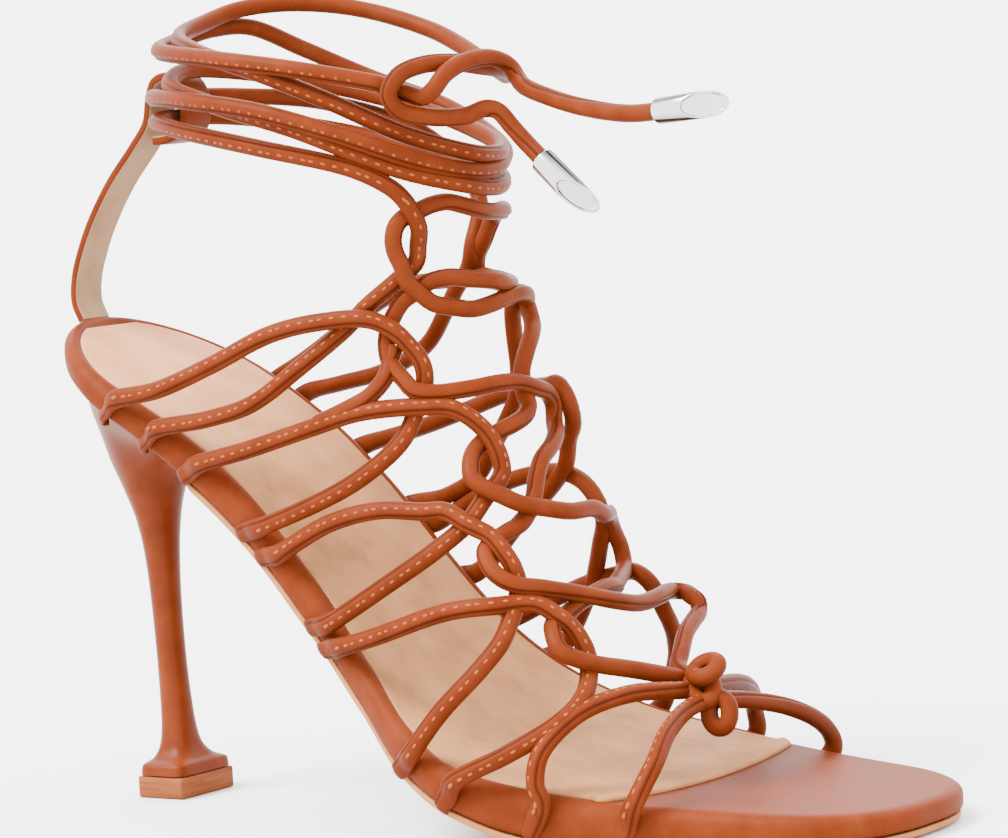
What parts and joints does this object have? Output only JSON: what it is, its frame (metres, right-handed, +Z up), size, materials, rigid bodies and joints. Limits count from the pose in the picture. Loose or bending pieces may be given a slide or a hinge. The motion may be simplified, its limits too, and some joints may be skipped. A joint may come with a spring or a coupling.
{
  "type": "heeled sandal",
  "caption": "Lace-up stiletto sandal: netted cord straps over a wrapped sole, slim flared heel, flat heel strap and a cord lace wound round the ankle and tied, with metal tips.",
  "frame": {"origin": "floor level under the middle of the sandal's box, measured without the tied lace knot and its free ends", "axes": "+X towards the toe, +Y towards the wearer's left (inner side of this right shoe), +Z up"},
  "size_m": [0.2148, 0.0964, 0.1797],
  "materials": {
    "leather": "cognac satin",
    "outsole": "pale tan, smooth",
    "sock": "beige matte",
    "top_lift": "tan matte",
    "metal_tip": "polished"
  },
  "bodies": {
    "root": {"board": "leather", "outsole": "outsole", "sock": "sock", "heel": "leather", "top_lift": "top_lift", "strap_net": "leather", "heel_strap": "leather", "ankle_lace": "leather", "lace_knot": "leather", "lace_end_short": "leather", "lace_end_long": "leather", "aglet_short": "metal_tip", "aglet_long": "metal_tip"}
  },
  "joints": []
}
